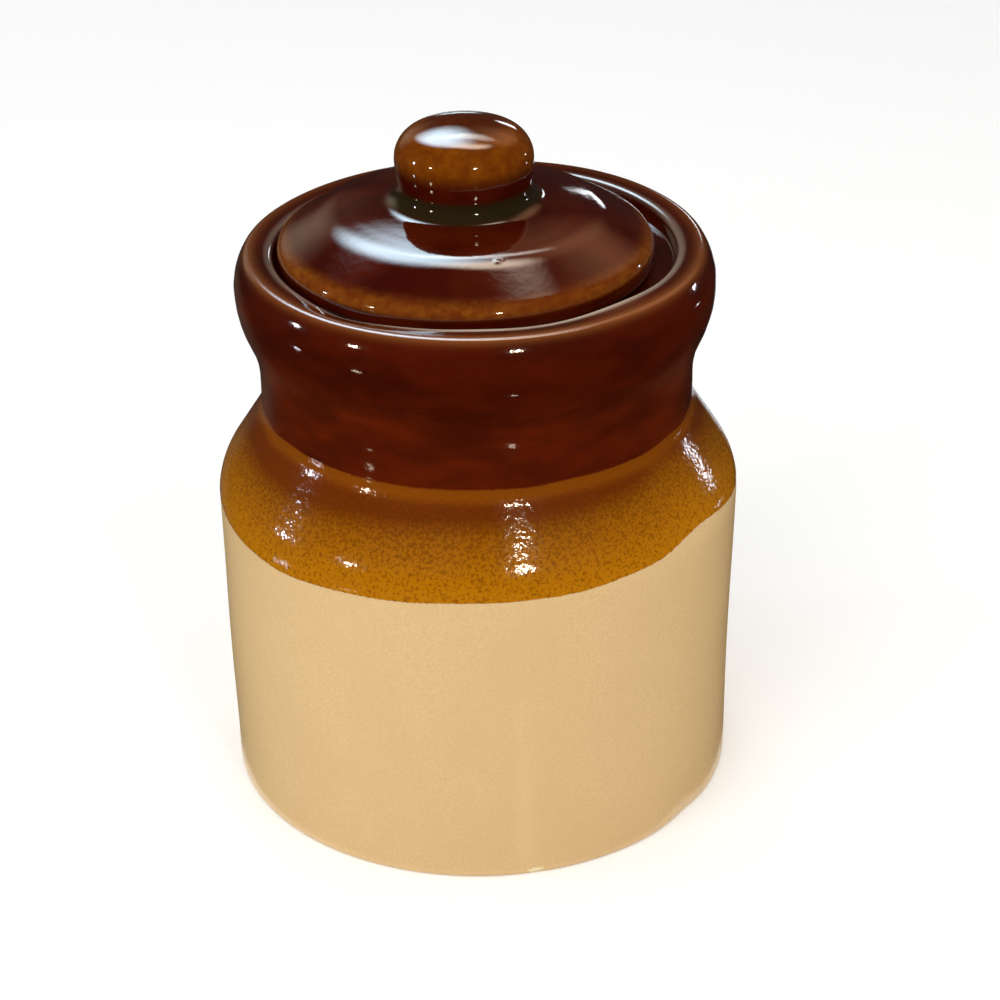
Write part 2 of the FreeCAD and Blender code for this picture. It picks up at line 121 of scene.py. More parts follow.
def arc(centre, radius, start, stop, step=ARC_STEP):
    """Points along an arc, from one angle to another in radians."""
    count = max(3, math.ceil(abs(stop - start) * radius / step))
    return [(centre[0] + radius * math.cos(a), centre[1] + radius * math.sin(a))
            for a in np.linspace(start, stop, count + 1)]


def angle_of(point, centre):
    """Direction in which a point lies from a centre, in radians."""
    return math.atan2(point[1] - centre[1], point[0] - centre[0])


def rounded(before, corner, after, radius):
    """Arc that rounds the corner between two straight runs."""
    corner = Vector(corner)
    back = (Vector(before) - corner).normalized()
    on = (Vector(after) - corner).normalized()
    half = back.angle(on) / 2
    centre = corner + (back + on).normalized() * radius / math.sin(half)
    start = angle_of(corner + back * radius / math.tan(half), centre)
    stop = angle_of(corner + on * radius / math.tan(half), centre)
    turn = (stop - start + math.pi) % (2 * math.pi) - math.pi
    return arc(centre, radius, start, start + turn)


def tangent_angle(point, centre, radius):
    """Angle at which the line from a point touches a circle on its clockwise side."""
    return angle_of(point, centre) - math.acos(radius / math.dist(point, centre))


def spaced(points, step):
    """The same outline with its long runs divided."""
    out = [points[0]]
    for start, stop in zip(points, points[1:]):
        count = max(1, math.ceil(math.dist(start, stop) / step))
        for k in range(1, count + 1):
            out.append(tuple(np.array(start) + (np.array(stop) - np.array(start)) * k / count))
    return out


def shoulder(bottom, top, radius):
    """Centre and first angle of the turn out of the leaning side that runs from bottom to top."""
    lean = math.atan2(top[0] - bottom[0], top[1] - bottom[1])
    return (top[0] - radius * math.cos(lean), top[1] + radius * math.sin(lean)), -lean


def rim_points():
    """Flare, rolled bulge and crest of the rim, from the top of the upright neck."""
    out, rise = RIM_RADIUS - NECK_RADIUS, BULGE_Z - NECK_TOP_Z
    sweep = 2 * math.atan2(out, rise)
    bend = rise / math.sin(sweep) / 2
    back, up = RIM_RADIUS - CREST_RADIUS, CREST_Z - BULGE_Z
    bow = (back ** 2 + (up - CREST_ROUND) ** 2 - CREST_ROUND ** 2) / (2 * (back - CREST_ROUND))
    bow_centre = (RIM_RADIUS - bow, BULGE_Z)
    crest_centre = (CREST_RADIUS, CREST_Z - CREST_ROUND)
    reach = angle_of(crest_centre, bow_centre)
    touch = tangent_angle(RIM_INNER, crest_centre, CREST_ROUND)
    points = arc((NECK_RADIUS + bend, NECK_TOP_Z), bend, math.pi, math.pi - sweep)
    points += arc((RIM_RADIUS - bend, BULGE_Z), bend, -sweep, 0)[1:]
    points += arc(bow_centre, bow, 0, reach)[1:]
    points += arc(crest_centre, CREST_ROUND, reach, touch)[1:]
    return points


def pot_outside():
    """Underside, side, shoulder, neck and rim, up to the gallery wall."""
    recess = FOOT_RADIUS - FOOT_WIDTH
    foot = (FOOT_RADIUS, 0)
    side_top = (BODY_RADIUS, SIDE_HEIGHT)
    crease = (NECK_RADIUS, CREASE_Z)
    neck_top = (NECK_RADIUS, NECK_TOP_Z)
    centre, start = shoulder(foot, side_top, SHOULDER_ROUND)
    turn = arc(centre, SHOULDER_ROUND, start, tangent_angle(crease, centre, SHOULDER_ROUND))
    rim = rim_points()
    points = [(0, FOOT_DEPTH), (recess, FOOT_DEPTH), (recess, 0)]
    points += rounded((recess, 0), foot, side_top, FOOT_ROUND)
    points += turn
    points += rounded(turn[-1], crease, neck_top, CREASE_ROUND)
    points += rim
    points += rounded(rim[-1], RIM_INNER, LEDGE_END, RIM_INNER_ROUND)
    return points


def pot_inside():
    """Gallery, ledge, mouth and the room under it, down to the middle of the floor."""
    mouth_top = (MOUTH_RADIUS, LEDGE_Z)
    mouth_low = (MOUTH_RADIUS, LEDGE_UNDER_Z)
    neck_top = (NECK_RADIUS - WALL, LEDGE_UNDER_Z - LEDGE_BEVEL)
    crease = (NECK_RADIUS - WALL, CREASE_Z)
    side_top = (BODY_RADIUS - WALL, SIDE_HEIGHT)
    corner = (FOOT_RADIUS - WALL, FLOOR)
    round_in = SHOULDER_ROUND - WALL
    centre, stop = shoulder(corner, side_top, round_in)
    points = rounded(RIM_INNER, LEDGE_END, mouth_top, LEDGE_ROUND)
    points += rounded(LEDGE_END, mouth_top, mouth_low, LEDGE_ROUND)
    points += rounded(mouth_top, mouth_low, neck_top, LEDGE_ROUND)
    points += [neck_top, crease]
    points += arc(centre, round_in, tangent_angle(crease, centre, round_in), stop)
    points += rounded(side_top, corner, (0, FLOOR), FLOOR_ROUND)
    return points + [(0, FLOOR)]


def touching_centre(low, low_reach, high, high_reach):
    """Centre of a round that lies so far from a low and a high centre, to their right."""
    span = Vector(high) - Vector(low)
    along = (span.length_squared + low_reach ** 2 - high_reach ** 2) / (2 * span.length)
    across = math.sqrt(low_reach ** 2 - along ** 2)
    unit = span.normalized()
    return Vector(low) + unit * along + Vector((unit.y, -unit.x)) * across


def knob_points(crown):
    """Knob from the glaze-filled corner on the dome to the middle of its top."""
    wide = LID_TOP - KNOB_CROWN
    root = crown - DOME_THICKNESS / 2
    rise, step = wide - root, KNOB_RADIUS - KNOB_WAIST
    bow = (rise ** 2 + step ** 2) / (2 * step)
    side_centre = (KNOB_RADIUS - bow, wide)
    dome_centre = (0, crown - DOME_RADIUS)
    root_centre = touching_centre(dome_centre, DOME_RADIUS + KNOB_ROOT_ROUND,
                                  side_centre, bow + KNOB_ROOT_ROUND)
    on_dome = angle_of(dome_centre, root_centre)
    on_side = angle_of(side_centre, root_centre)
    turn = (on_side - on_dome) % (2 * math.pi)
    inset = KNOB_RADIUS - KNOB_SHOULDER_ROUND
    top_round = (inset ** 2 + KNOB_CROWN ** 2 - KNOB_SHOULDER_ROUND ** 2) \
        / (2 * (KNOB_CROWN - KNOB_SHOULDER_ROUND))
    top_centre = (0, LID_TOP - top_round)
    tilt = math.atan2(wide - top_centre[1], inset)
    points = arc(root_centre, KNOB_ROOT_ROUND, on_dome, on_dome + turn - 2 * math.pi)
    points += arc(side_centre, bow, angle_of(root_centre, side_centre), 0)[1:]
    points += arc((inset, wide), KNOB_SHOULDER_ROUND, 0, tilt)[1:]
    points += arc(top_centre, top_round, tilt, math.pi / 2)[1:]
    return points[:-1] + [(0, LID_TOP)]


def lid_underside(crown, dome_centre):
    """Hollow under the dome, and the locating ring that keeps the lid in the mouth."""
    inside = DOME_RADIUS - DOME_THICKNESS
    ring_in = RING_RADIUS - RING_THICKNESS
    corner = (ring_in, dome_centre[1] + math.sqrt(inside ** 2 - ring_in ** 2))
    low_in, low_out = (ring_in, -RING_DEPTH), (RING_RADIUS, -RING_DEPTH)
    ring_top = (RING_RADIUS, 0)
    points = arc(dome_centre, inside, math.pi / 2, angle_of(corner, dome_centre), INSIDE_STEP)
    points[0] = (0, crown - DOME_THICKNESS)
    points += rounded(corner, low_in, low_out, RING_ROUND)
    points += rounded(low_in, low_out, ring_top, RING_ROUND)
    return points + [ring_top]


def lid_outline():
    """Underside, rolled edge, straight flank, haunch, flat crown and knob."""
    crown = EDGE_HEIGHT + DOME_RISE
    centre = (0, crown - DOME_RADIUS)
    tilt = math.acos((LID_RADIUS - HAUNCH_INSET) / DOME_RADIUS)
    reach = DOME_RADIUS - HAUNCH_ROUND
    haunch_centre = (reach * math.cos(tilt), centre[1] + reach * math.sin(tilt))
    roll_centre = (LID_RADIUS - EDGE_ROUND, EDGE_HEIGHT)
    under_centre = (LID_RADIUS - EDGE_UNDER_ROUND, EDGE_UNDER_ROUND)
    fall = angle_of(roll_centre, haunch_centre) \
        + math.acos((HAUNCH_ROUND - EDGE_ROUND) / math.dist(roll_centre, haunch_centre))
    knob = knob_points(crown)
    points = lid_underside(crown, centre)
    points += arc(under_centre, EDGE_UNDER_ROUND, -math.pi / 2, 0)
    points += arc(roll_centre, EDGE_ROUND, 0, fall)
    points += arc(haunch_centre, HAUNCH_ROUND, fall, tilt)
    points += arc(centre, DOME_RADIUS, tilt, angle_of(knob[0], centre), LID_STEP)[1:-1]
    return points + knob


# ---------------------------------------------------------------- unevenness of hand and kiln

# A swell round the pot is a height, and a direction and a width in degrees. Directions are
# measured from the viewer's side to the right.
Swell = namedtuple("Swell", "height direction width")
GLAZE_RUNS = (Swell(3.2 * MM, 56, 15), Swell(-1.5 * MM, -47, 24))
RIM_EDGE_SWAY = (Swell(0.9 * MM, 42, 16), Swell(-1.1 * MM, -38, 12), Swell(0.4 * MM, 0, 12))
RIM_LIFT = (Swell(0.4 * MM, -155, 35), Swell(0.4 * MM, 150, 25))
RIM_EDGE_WIDTH = 3.5 * MM

# A mark at the foot has a direction in degrees, a width along the side, a height above the table,
# how tall it is and how far it stands proud.
Mark = namedtuple("Mark", "direction width z tall proud")
DENT = Mark(53, BODY_RADIUS * math.radians(7), 0, 9 * MM, -0.7 * MM)
CHIP = Mark(11.25, 2.4 * MM, 1.2 * MM, 0.8 * MM, -0.3 * MM)
LUMP = Mark(28.75, 1.0 * MM, 3.8 * MM, 1.1 * MM, 0.35 * MM)

# A fade runs from where something starts to where it is full, and a place is a middle and a width.
GLAZE_LINE_Z = 80.5 * MM            # the pot was dipped to here, a little askew
GLAZE_TILT = 0.8 * MM
GLAZE_WAVER = 0.14 * MM
GLAZE_STEP = 0.14 * MM              # the honey glaze stands this far proud
GLAZE_FADE = (-0.15 * MM, 0.35 * MM)
CREASE_GLAZE_Z = CREASE_Z + 2.2 * MM
CREASE_WAVER = 0.18 * MM
WOBBLE = 0.06 * MM                  # the body isn't quite round
WOBBLE_INWARD = 1.3                 # and stays inside its turned radius
WOBBLE_FADE = (0.5 * MM, 12 * MM)
NECK_LINE_DEPTH = 0.05 * MM
NECK_LINE_PITCH = 4.2 * MM
NECK_FADE = (CREASE_Z, CREASE_Z + 5 * MM)
BODY_LEAN = -0.4 * MM
BODY_LEAN_PLACE = (36 * MM, 26 * MM)
RIM_LEAN = 1.2 * MM
DOME_LINE_DEPTH = 0.02 * MM
DOME_LINE_PITCH = 7 * MM
DOME_LINE_PLACE = (29 * MM, 7 * MM)
PIMPLE_RADIUS = 34 * MM             # from the lid's axis
PIMPLE_DIRECTION = 13
PIMPLE_WIDTH = 0.6 * MM
PIMPLE_HEIGHT = 0.30 * MM


def smooth(value, low, high):
    """0 below low, 1 above high and an even turn between them."""
    t = np.clip((value - low) / (high - low), 0, 1)
    return t * t * (3 - 2 * t)


def bell(value, middle, width):
    """1 in the middle, falling off evenly to both sides."""
    return np.exp(-((value - middle) / width) ** 2)


def wander(angle, seed, first, last):
    """Closed random wave round the pot, about -1 to 1, from so many to so many swings a turn."""
    rng = np.random.default_rng(seed)
    total = np.zeros_like(angle)
    for swings in range(first, last + 1):
        total += np.cos(swings * angle + rng.uniform(0, 2 * math.pi))
    return total / math.sqrt(last - first + 1)


def throwing_lines(height, angle, seed, pitch):
    """Fine grooves that the fingers leave in clay on the wheel, about -1 to 1."""
    rng = np.random.default_rng(seed)
    total = np.zeros_like(height)
    shares = (0.6, 1.0, 1.7)
    for share in shares:
        turn = 2 * math.pi * height / (pitch * share)
        total += np.cos(turn + angle + 1.3 * wander(angle, rng.integers(1000), 1, 4)
                        + rng.uniform(0, 2 * math.pi))
    return total / len(shares)


def swells(angle, rows):
    """Height of some swells round the pot, added up."""
    return sum(row.height * bell(angle, math.radians(row.direction), math.radians(row.width))
               for row in rows)


def mark_share(mark, angle, height):
    """1 in the middle of a mark at the foot, and 0 well away from it."""
    along_side = (angle - math.radians(mark.direction)) * BODY_RADIUS
    return bell(along_side, 0, mark.width) * bell(height, mark.z, mark.tall)


def glaze_line(angle):
    """Height of the honey glaze's lower edge round the pot."""
    return GLAZE_LINE_Z + GLAZE_TILT * np.sin(angle) + swells(angle, GLAZE_RUNS) \
        + GLAZE_WAVER * wander(angle, seed=11, first=6, last=20)


def crease_line(angle):
    """Height where the dark glaze of the neck ends, a little above the crease."""
    return CREASE_GLAZE_Z + CREASE_WAVER * wander(angle, seed=5, first=5, last=24)


def on_rim(height, outer):
    """0 below the rim and 1 at its top, both outside and in the gallery."""
    return outer * smooth(height, NECK_TOP_Z, BULGE_Z) \
        + (1 - outer) * smooth(height, LEDGE_Z, RIM_INNER_Z)


def worked_radius(radius, height, angle, outer):
    """Turned radius with the wobble, the throwing lines, the step of the glaze and the marks."""
    neck = outer * smooth(height, *NECK_FADE)
    glazed = outer * smooth(height - glaze_line(angle), *GLAZE_FADE) * (height < CREASE_Z)
    wobble = WOBBLE * (wander(angle, seed=3, first=2, last=3) - WOBBLE_INWARD)
    lines = NECK_LINE_DEPTH * throwing_lines(height, angle, 7, NECK_LINE_PITCH)
    marks = sum(mark.proud * mark_share(mark, angle, height) for mark in (LUMP, CHIP, DENT))
    return radius + smooth(height, *WOBBLE_FADE) * wobble + neck * lines + GLAZE_STEP * glazed \
        + outer * marks


def worked_height(radius, height, angle, outer):
    """Turned height with the rim's rise at the back and the sway of its inner edge."""
    edge = bell(radius, GALLERY_RADIUS, RIM_EDGE_WIDTH) * smooth(height, LEDGE_Z, RIM_INNER_Z)
    return height + on_rim(height, outer) * swells(angle, RIM_LIFT) \
        + edge * swells(angle, RIM_EDGE_SWAY)


def sideways(height, angle, outer):
    """Sideways shift of the body, and of the rim towards the back."""
    return BODY_LEAN * bell(height, *BODY_LEAN_PLACE) \
        + RIM_LEAN * on_rim(height, outer) * smooth(-np.cos(angle), 0, 1)


# ---------------------------------------------------------------- what the glazes are painted by

INSIDE = 50                         # mm above every glaze line, so the inside is dark throughout
# Bands on the rim: radius and width, height and how tall. The brink band is a painted highlight,
# and the crest band is thinned glaze with a painted highlight on it.
CREST_BAND = (CREST_RADIUS + 0.4 * MM, 1.8 * MM, CREST_Z, 1.4 * MM)
BRINK_HIGHLIGHT_BAND = (GALLERY_RADIUS + 1.3 * MM, 0.75 * MM, RIM_INNER_Z - 0.1 * MM, 0.7 * MM)
# The bands are strongest at a direction, over a width in degrees, and keep a share elsewhere, so
# their painted highlight is strongest towards the front.
CREST_HIGHLIGHT_FRONT = (0, 115, 0.25)
BRINK_HIGHLIGHT_FRONT = (12, 52, 0.15)
LUMP_PAINT = 0.5                    # how pale the lump is beside the chip
# Where the masks of the lid fade in or out: radii, and heights above the ledge.
# The roll's amber starts at the edge's widest line, so the turned-under edge below it stays dark
# as painted shade.
ROLL_RISE, ROLL_FALL = (3.9 * MM, 5.2 * MM), (6.4 * MM, 9.0 * MM)
POOL_WIDE, POOL_HIGH = (17.4 * MM, 19.9 * MM), (20.0 * MM, 21.6 * MM)
KNOB_RISE, KNOB_FALL = (24.2 * MM, 28.8 * MM), (34.2 * MM, 35.6 * MM)
KNOB_FALL_SHARE = 0.75
KNOB_REACH = KNOB_RADIUS + 0.1 * MM
# Above these heights the pool and the pimple are on the lid's upper side.
POOL_ABOVE, PIMPLE_ABOVE = 15 * MM, 8 * MM


def band(radius, height, at_radius, width, at_height, tall):
    """1 along a ring of the rim, falling off across and up."""
    return bell(radius, at_radius, width) * bell(height, at_height, tall)


def towards_front(angle, direction, width, rest):
    """1 at a direction, falling to a resting share round the other side."""
    return rest + (1 - rest) * bell(angle, math.radians(direction), math.radians(width))


def pot_masks(radius, height, angle, outer):
    """Heights above the glaze lines in mm, and shares from 0 to 1, named for the glaze."""
    return {
        "above_line": np.where(outer > 0, (height - glaze_line(angle)) / MM, INSIDE),
        "above_crease": np.where(outer > 0, (height - crease_line(angle)) / MM, INSIDE),
        # crest: glaze thinned over the crest, with a painted warm highlight on it
        "crest_thin_and_highlight": outer * band(radius, height, *CREST_BAND) * towards_front(angle, *CREST_HIGHLIGHT_FRONT),
        # brink: a pale painted highlight along the rim's inner edge
        "brink_highlight": band(radius, height, *BRINK_HIGHLIGHT_BAND) * towards_front(angle, *BRINK_HIGHLIGHT_FRONT),
        "chip": outer * np.maximum(mark_share(CHIP, angle, height),
                                   LUMP_PAINT * mark_share(LUMP, angle, height)),
    }


def lid_masks(radius, local, pimple):
    """Shares from 0 to 1, named for the glaze, from heights above the ledge."""
    return {
        # roll: amber of the thinned glaze; its lower fade leaves painted shade under the edge
        "roll": smooth(local, *ROLL_RISE) * (1 - smooth(local, *ROLL_FALL))
        * (radius > RING_RADIUS),
        "pool": (1 - smooth(radius, *POOL_WIDE)) * (1 - smooth(local, *POOL_HIGH))
        * (local > POOL_ABOVE),
        "knob": (radius < KNOB_REACH) * smooth(local, *KNOB_RISE)
        * (1 - KNOB_FALL_SHARE * smooth(local, *KNOB_FALL)),
        "pimple": pimple,
    }


# ---------------------------------------------------------------- turned meshes

def turned_mesh(name, outline, segments, shape):
    """Closed mesh turned from an outline that starts and ends on the axis.

    shape(radius, height, angle, along) takes grids of one row to each outline point, and gives
    the final radius, height and sideways shift, and the named values painted on the points.
    """
    rows = np.array(outline)
    angle = np.linspace(-math.pi, math.pi, segments, endpoint=False)
    along = np.concatenate([[0], np.cumsum(np.hypot(*np.diff(rows, axis=0).T))])
    grid = np.meshgrid(rows[1:-1, 0], angle, indexing="ij")
    radius, height, shift, painted = shape(
        grid[0], np.repeat(rows[1:-1, 1:2], segments, axis=1), grid[1],
        np.repeat(along[1:-1, None], segments, axis=1))
    ring = np.stack([radius * np.sin(grid[1]) + shift, -radius * np.cos(grid[1]), height], axis=-1)
    points = np.concatenate([ring.reshape(-1, 3), [[shift[0, 0], 0, rows[0, 1]]],
                             [[shift[-1, 0], 0, rows[-1, 1]]]])
    count = len(rows) - 2
    index = np.arange(count * segments).reshape(count, segments)
    beside = np.roll(index, -1, axis=1)
    quads = np.stack([index[:-1], beside[:-1], beside[1:], index[1:]], axis=-1).reshape(-1, 4)
    first, last = count * segments, count * segments + 1
    fans = [(first, int(b), int(a)) for a, b in zip(index[0], beside[0])]
    fans += [(last, int(a), int(b)) for a, b in zip(index[-1], beside[-1])]
    mesh = bpy.data.meshes.new(name)
    mesh.from_pydata(points.tolist(), [], quads.tolist() + fans)
    mesh.shade_smooth()
    for key, values in painted.items():
        layer = mesh.attributes.new(key, "FLOAT", "POINT")
        ends = [values[0, 0], values[-1, 0]]
        layer.data.foreach_set("value", np.append(values.reshape(-1), ends).astype(np.float32))
    return placed(bpy.data.objects.new(name, mesh))


def placed(item):
    """The same object, linked into the scene."""
    bpy.context.scene.collection.objects.link(item)
    return item


def make_pot():
    """The jar, as thrown, dipped and knocked about."""
    outside = spaced(pot_outside(), OUTSIDE_STEP)
    inside = spaced(pot_inside(), INSIDE_STEP)
    outer_rows = len(outside) - 1

    def shape(radius, height, angle, along):
        outer = np.zeros_like(height)
        outer[:outer_rows] = 1
        return (worked_radius(radius, height, angle, outer),
                worked_height(radius, height, angle, outer),
                sideways(height, angle, outer), pot_masks(radius, height, angle, outer))

    return turned_mesh("pot_body", outside + inside[1:], POT_SEGMENTS, shape)


def make_lid():
    """Lid and knob, with faint throwing lines and a pimple in the glaze of the dome."""
    outline = [(r, z + LEDGE_Z) for r, z in spaced(lid_outline(), LID_STEP)]

    def shape(radius, height, angle, along):
        local = height - LEDGE_Z
        middle = along.max() / 2
        dome = bell(radius, *DOME_LINE_PLACE) * smooth(along, 0.9 * middle, middle)
        across = (angle - math.radians(PIMPLE_DIRECTION)) * radius
        pimple = bell(across, 0, PIMPLE_WIDTH) * bell(radius, PIMPLE_RADIUS, PIMPLE_WIDTH) \
            * (local > PIMPLE_ABOVE)
        lines = DOME_LINE_DEPTH * dome * throwing_lines(radius, angle, 21, DOME_LINE_PITCH)
        return (radius, height + PIMPLE_HEIGHT * pimple + lines, np.full_like(height, LID_X),
                lid_masks(radius, local, pimple))

    return turned_mesh("lid_body", outline, LID_SEGMENTS, shape)


# ---------------------------------------------------------------- glazes

def colour(red, green, blue):
    """Linear colour from screen values of 0 to 255, by the sRGB curve."""
    shares = [value / 255 for value in (red, green, blue)]
    return (*[((s + 0.055) / 1.055) ** 2.4 if s > 0.04045 else s / 12.92 for s in shares], 1)


CREAM = (colour(229, 195, 143), colour(224, 190, 138))
CREAM_GRAIN = colour(219, 184, 131)
HONEY = [                           # from the lower edge up to the crease
    (0.0, colour(182, 115, 6)), (0.12, colour(176, 110, 6)), (0.35, colour(162, 99, 5)),
    (0.6, colour(144, 84, 4)), (0.8, colour(106, 46, 2)), (1.0, colour(108, 44, 2))]
HONEY_FLECK = colour(88, 38, 2)
HONEY_FRINGE = colour(132, 70, 5)
NECK = (colour(66, 16, 2), colour(92, 27, 3))
BULGE = (colour(50, 8, 1), colour(72, 16, 1))
# the dark glaze thinned over the crest, partly a painted warm highlight
CREST_THIN_AND_HIGHLIGHT = colour(134, 76, 34)
# pale painted highlight along the brink, the rim's inner edge
BRINK_HIGHLIGHT = colour(232, 212, 188)
BARE_CLAY = colour(244, 228, 186)
LID = (colour(54, 7, 1), colour(70, 18, 3))
ROLL = (colour(140, 80, 18), colour(120, 60, 12))
ROLL_MOTTLE = colour(108, 48, 8)
KNOB = (colour(118, 60, 4), colour(98, 44, 2))
POOL = colour(36, 28, 11)
PIMPLE = colour(30, 16, 8)

CREAM_ROUGHNESS, HONEY_ROUGHNESS = 0.24, 0.10
DARK_ROUGHNESS, CREST_ROUGHNESS = 0.07, 0.13
LID_ROUGHNESS = 0.06
HONEY_SPAN = (CREASE_Z - 80 * MM) / MM      # mm from about the glaze line up to the crease

# How the glazes meet and vary. An edge is where a zone begins and is full: heights above the
# glaze line or the crease line in mm, or amounts of a mask. A share is how much of it shows.
CONTRAST = (0.3, 0.7)
RAGGED = 0.7                                # mm that the zones' edges waver
LINE_EDGE, CREASE_EDGE, CHIP_EDGE = (-0.1, 0.15), (-0.35, 0.35), (0.3, 0.7)
FLECK_EDGE, FLECK_SHARE = (-0.08, 0.10), 0.52
FLECK_THRESHOLD = (0.56, 0.46)              # of the noise, at the glaze line and at the crease
FRINGE_EDGE, FRINGE_SHARE = (-4.4, -1.8), 0.75
FRINGE_WAVER = (-0.5, 0.5)
BULGE_EDGE = (16, 28)
# shares of the crest's and the brink's painted highlights
CREST_EDGE, CREST_SHARE, BRINK_HIGHLIGHT_SHARE = (0.1, 0.7), 0.8, 0.95
ROLL_SHARE, POOL_SHARE = 0.85, 0.95
PIMPLE_EDGE = (0.4, 0.85)

# Sockets of the Mix node: its two colours and the colour it gives, and its two numbers.
MIX_COLOURS, MIX_COLOUR_OUT = (6, 7), 2
MIX_NUMBERS = (2, 3)


class Surface:
    """One material and the few kinds of node that it is made of."""

    def __init__(self, name):
        self.material = bpy.data.materials.new(name)
        self.material.use_nodes = True
        self.nodes = self.material.node_tree.nodes
        self.links = self.material.node_tree.links
        self.shader = self.nodes["Principled BSDF"]
        self.place = self.nodes.new("ShaderNodeTexCoord").outputs["Object"]

    def feed(self, socket, value):
        """Link another node's socket, or set a plain value."""
        if isinstance(value, bpy.types.NodeSocket):
            self.links.new(value, socket)
        else:
            socket.default_value = value

    def set(self, name, value):
        """Feed one of the shader's own inputs."""
        self.feed(self.shader.inputs[name], value)

    def painted(self, name):
        """Named value that the mesh carries."""
        node = self.nodes.new("ShaderNodeAttribute")
        node.attribute_name = name
        return node.outputs["Fac"]

    def math(self, kind, first, second, clamp=False):
        node = self.nodes.new("ShaderNodeMath")
        node.operation = kind
        node.use_clamp = clamp
        self.feed(node.inputs[0], first)
        self.feed(node.inputs[1], second)
        return node.outputs[0]

    def vector(self, kind, first, second=(0, 0, 0), output=0):
        node = self.nodes.new("ShaderNodeVectorMath")
        node.operation = kind
        self.feed(node.inputs[0], first)
        node.inputs[1].default_value = second
        return node.outputs[output]

    def smooth(self, value, low, high, start=0.0, stop=1.0):
        """From start at low to stop at high, with an even turn between them."""
        node = self.nodes.new("ShaderNodeMapRange")
        node.interpolation_type = "SMOOTHSTEP"
        self.feed(node.inputs["Value"], value)
        ends = {"From Min": low, "From Max": high, "To Min": start, "To Max": stop}
        for key, number in ends.items():
            node.inputs[key].default_value = number
        return node.outputs[0]

    def noise(self, size, detail=2.0, roughness=0.5, stretch=(1, 1, 1)):
        """Noise whose blotches measure about size, drawn out by stretch."""
        node = self.nodes.new("ShaderNodeTexNoise")
        self.feed(node.inputs["Vector"], self.vector("DIVIDE", self.place, stretch))
        node.inputs["Scale"].default_value = 1 / size
        node.inputs["Detail"].default_value = detail
        node.inputs["Roughness"].default_value = roughness
        return node.outputs[0]

    def blotches(self, size, detail=2.0, roughness=0.5, stretch=(1, 1, 1), contrast=CONTRAST):
        """Noise with its contrast raised to the full range of 0 to 1."""
        return self.smooth(self.noise(size, detail, roughness, stretch), *contrast)

    def ramp(self, value, stops):
        node = self.nodes.new("ShaderNodeValToRGB")
        self.feed(node.inputs[0], value)
        elements = node.color_ramp.elements
        while len(elements) < len(stops):
            elements.new(0.5)
        for element, (position, tint) in zip(elements, stops):
            element.position = position
            element.color = tint
        return node.outputs[0]

    def mix(self, share, first, second):
        """Colour between two colours."""
        node = self.nodes.new("ShaderNodeMix")
        node.data_type = "RGBA"
        self.feed(node.inputs[0], share)
        for index, tint in zip(MIX_COLOURS, (first, second)):
            self.feed(node.inputs[index], tint)
        return node.outputs[MIX_COLOUR_OUT]

    def blend(self, share, first, second):
        """Number between two numbers."""
        node = self.nodes.new("ShaderNodeMix")
        self.feed(node.inputs[0], share)
        for index, number in zip(MIX_NUMBERS, (first, second)):
            self.feed(node.inputs[index], number)
        return node.outputs[0]

    def bump(self, relief, height, after=None):
        """Fine relief of so much height, on top of another one."""
        node = self.nodes.new("ShaderNodeBump")
        node.inputs["Distance"].default_value = height
        node.inputs["Strength"].default_value = 1
        self.feed(node.inputs["Height"], relief)
        if after is not None:
            self.feed(node.inputs["Normal"], after)
        return node.outputs[0]


def cream_colour(glaze):
    """Clear glaze over buff clay, with a fine even grain."""
    grain = glaze.blotches(size=0.6 * MM, detail=3, roughness=0.6)
    cloud = glaze.blotches(size=22 * MM)
    return glaze.mix(grain, glaze.mix(cloud, *CREAM), CREAM_GRAIN)


def honey_colour(glaze, above_line, above_crease):
    """Amber glaze, speckled with brown that thickens towards the crease, and a fringe there."""
    climb = glaze.math("DIVIDE", above_line, HONEY_SPAN, clamp=True)
    base = glaze.ramp(climb, HONEY)
    fleck = glaze.noise(size=0.75 * MM, roughness=0.6)
    threshold = glaze.smooth(above_line, 0, HONEY_SPAN, *FLECK_THRESHOLD)
    spots = glaze.smooth(glaze.math("SUBTRACT", fleck, threshold), *FLECK_EDGE)
    flecked = glaze.mix(glaze.math("MULTIPLY", spots, FLECK_SHARE), base, HONEY_FLECK)
    waver = glaze.smooth(fleck, *CONTRAST, *FRINGE_WAVER)
    fringe = glaze.smooth(glaze.math("ADD", above_crease, waver), *FRINGE_EDGE)
    return glaze.mix(glaze.math("MULTIPLY", fringe, FRINGE_SHARE), flecked, HONEY_FRINGE)


def dark_colour(glaze, above_crease):
    """Dark red-brown glaze, darkest on the bulge, with faint clouds drawn out round the pot."""
    cloud = glaze.blotches(size=9 * MM, detail=3, roughness=0.55, stretch=(2.5, 2.5, 1),
                           contrast=(0.3, 0.72))
    neck, bulge = glaze.mix(cloud, *NECK), glaze.mix(cloud, *BULGE)
    return glaze.mix(glaze.smooth(above_crease, *BULGE_EDGE), neck, bulge)


def rim_colour(glaze, dark):
    """The dark glaze, thinned over the crest where a warm highlight is painted too, and a pale
    painted highlight along the brink inside it.
    """
    # painted warm highlight on the thinned glaze of the crest
    on_crest_thin_and_highlight = glaze.math("MULTIPLY", glaze.painted("crest_thin_and_highlight"), CREST_SHARE)
    # painted highlight along the brink
    on_brink_highlight = glaze.math("MULTIPLY", glaze.painted("brink_highlight"), BRINK_HIGHLIGHT_SHARE)
    return glaze.mix(on_brink_highlight, glaze.mix(on_crest_thin_and_highlight, dark, CREST_THIN_AND_HIGHLIGHT), BRINK_HIGHLIGHT)


